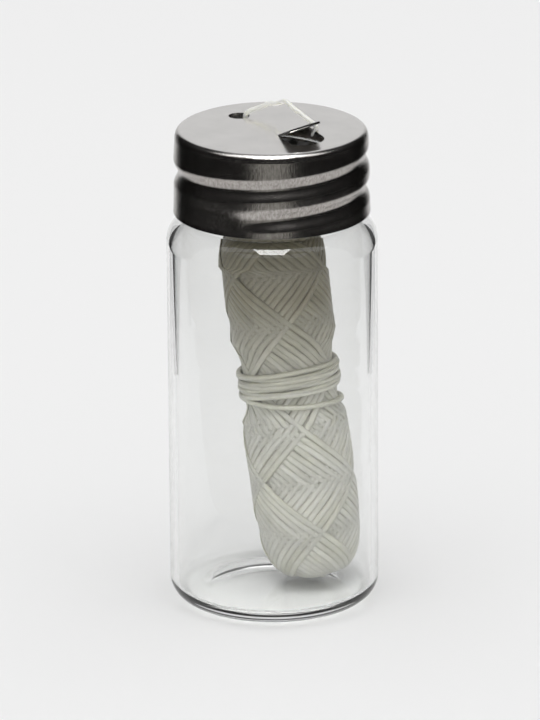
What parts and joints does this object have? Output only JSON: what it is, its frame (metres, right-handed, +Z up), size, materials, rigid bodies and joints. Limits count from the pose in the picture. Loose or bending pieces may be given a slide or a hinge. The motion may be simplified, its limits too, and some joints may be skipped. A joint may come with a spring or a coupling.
{
  "type": "dental floss dispenser",
  "caption": "Clear glass vial with a threaded steel cap, a lanced cutter tongue and a cross-wound floss bobbin drawn out through the lid.",
  "frame": {"origin": "middle of the vial's foot, on the surface that it stands on", "axes": "+Z up along the vial's axis, -Y to the front from which the cutter tongue is seen, +X to the right seen from the front"},
  "size_m": [0.028, 0.028, 0.0684],
  "materials": {
    "glass": "clear smooth soda-lime glass with a faint green edge",
    "steel": "rolled thin stainless steel, satin with fine scuffs",
    "floss": "waxed translucent off-white fibre strand"
  },
  "bodies": {
    "vial": {"glass_vial": "glass"},
    "lead": {"lead_inside": "floss"},
    "cap": {"screw_cap": "steel", "lead_outside": "floss"},
    "bobbin": {"bobbin_core": "floss", "bobbin_winding": "floss", "waist_wrap": "floss"}
  },
  "joints": [
    {"name": "cap_lift", "type": "slide", "parent": "vial", "child": "lead", "axis": [0, 0, 1], "range_m": [0, 0.01242]},
    {"name": "cap_turn", "type": "hinge", "parent": "lead", "child": "cap", "pos_m": [0, 0, 0.06], "axis": [0, 0, 1], "range_deg": [0, 1080]},
    {"name": "bobbin_spin", "type": "hinge", "parent": "vial", "child": "bobbin", "pos_m": [0.0057, 0.001, 0.00205], "axis": [-0.1271, 0.1132, 0.9854], "continuous": true}
  ],
  "couplings": [
    {"joint": "cap_lift", "follows": "cap_turn", "m_per_rad": 0.0006589}
  ]
}
